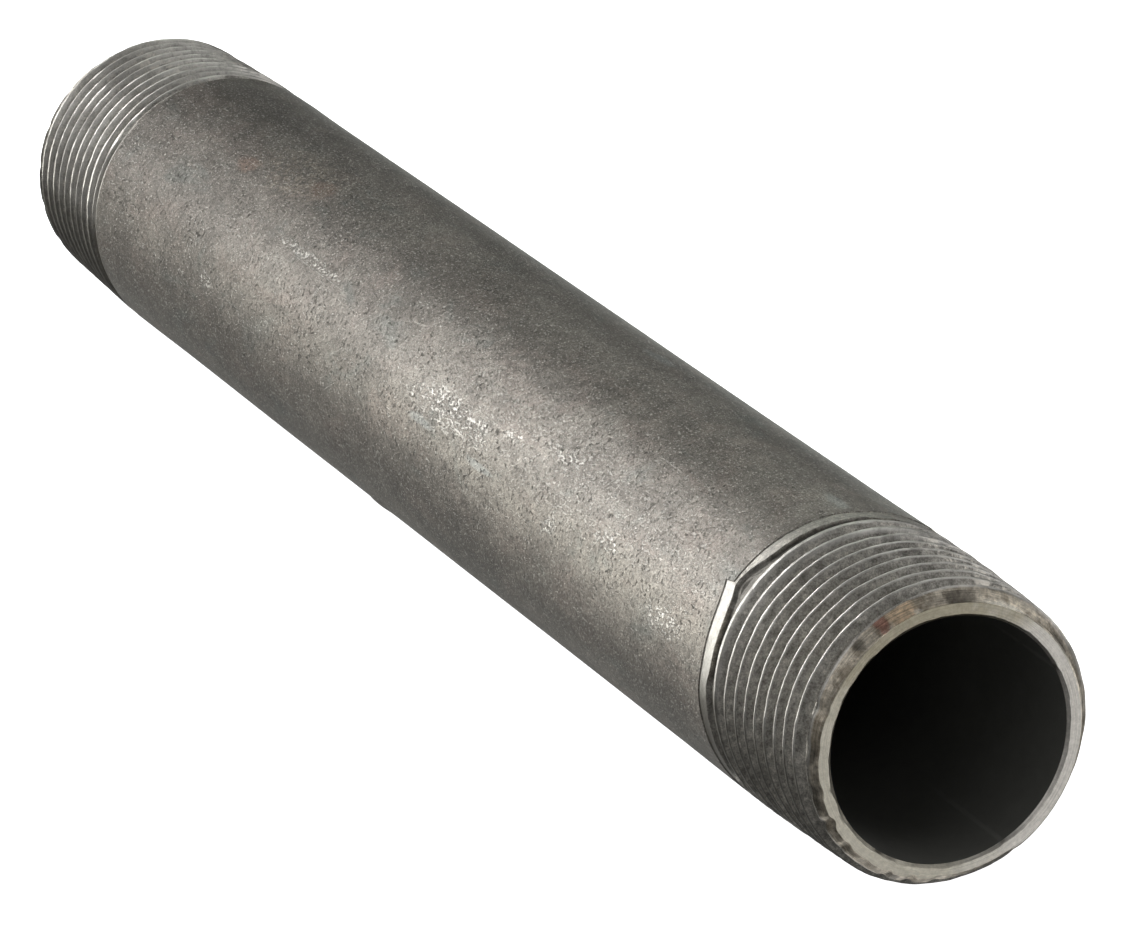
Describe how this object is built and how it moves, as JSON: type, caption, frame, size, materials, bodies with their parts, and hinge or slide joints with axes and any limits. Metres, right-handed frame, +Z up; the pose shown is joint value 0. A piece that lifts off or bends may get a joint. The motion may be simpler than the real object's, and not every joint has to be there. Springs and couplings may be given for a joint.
{
  "type": "threaded pipe nipple",
  "caption": "Straight length of black steel pipe with a through bore and a right-hand taper pipe thread cut on each end.",
  "frame": {"origin": "on the pipe's axis at the middle of its length", "axes": "+X along the pipe's axis, towards the end nearest the viewer in the source image; +Z up as the pipe lies"},
  "size_m": [0.2286, 0.0334, 0.0334],
  "materials": {
    "black_steel": "dark mill scale, with freshly cut metal on the threads and end faces"
  },
  "bodies": {
    "root": {"pipe_nipple": "black_steel"}
  },
  "joints": []
}
